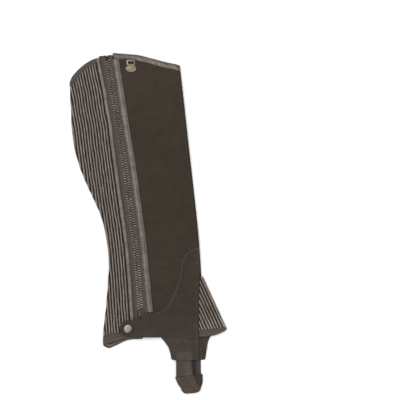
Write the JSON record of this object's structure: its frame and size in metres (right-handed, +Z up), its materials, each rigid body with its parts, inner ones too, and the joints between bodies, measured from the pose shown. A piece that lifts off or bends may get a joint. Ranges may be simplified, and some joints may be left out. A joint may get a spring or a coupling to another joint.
{
  "type": "suede half chap",
  "caption": "Left half chap for riding, laid flat: suede leg panel with ribbed stretch calf, side zip, snapped ankle tab and elastic strap that goes under the boot.",
  "frame": {"origin": "on the floor, under the middle of the laid-out half chap's footprint", "axes": "+Y up the leg, from the strap to the top edge; +X across it, from the calf to the shin; +Z up from the floor, out of the outer side"},
  "size_m": [0.1996, 0.5206, 0.0119],
  "materials": {
    "suede": "dark brown suede, short even nap",
    "worn_suede": "suede worn smooth and greyer",
    "binding_leather": "smooth grey-brown leather, satin",
    "piping_leather": "smooth grey-brown leather strip, satin",
    "ribbed_stretch": "ribbed stretch cloth, grey-brown ribs over dark grooves",
    "binding_elastic": "fine woven elastic binding, matt",
    "strap_elastic": "woven elastic webbing, matt grey-brown",
    "zip_tape": "woven zip tape, matt dark brown",
    "zip_teeth": "moulded plastic teeth, dark brown",
    "zip_metal": "dark brown painted slider, worn at its edges",
    "snap_metal": "plated snap, slightly worn",
    "badge_metal": "pale brass, brushed"
  },
  "bodies": {
    "root": {"outer_panel": "suede", "inner_panel": "suede", "ankle_band": "suede", "outer_strap_flare": "suede", "inner_strap_flare": "suede", "strap_patch": "worn_suede", "outer_top_binding": "binding_leather", "inner_top_binding": "binding_leather", "rear_piping": "piping_leather", "front_piping": "piping_leather", "calf_gusset": "ribbed_stretch", "instep_gusset": "ribbed_stretch", "calf_top_binding": "binding_elastic", "calf_hem": "binding_elastic", "instep_hem": "binding_elastic", "outer_strap_elastic": "strap_elastic", "inner_strap_elastic": "strap_elastic", "zip_tape_rear": "zip_tape", "zip_tape_front": "zip_tape", "zip_chain": "zip_teeth", "zip_slider": "zip_metal", "zip_pull": "zip_metal", "snap_cap": "snap_metal", "snap_stud": "snap_metal", "badge": "badge_metal"}
  },
  "joints": []
}
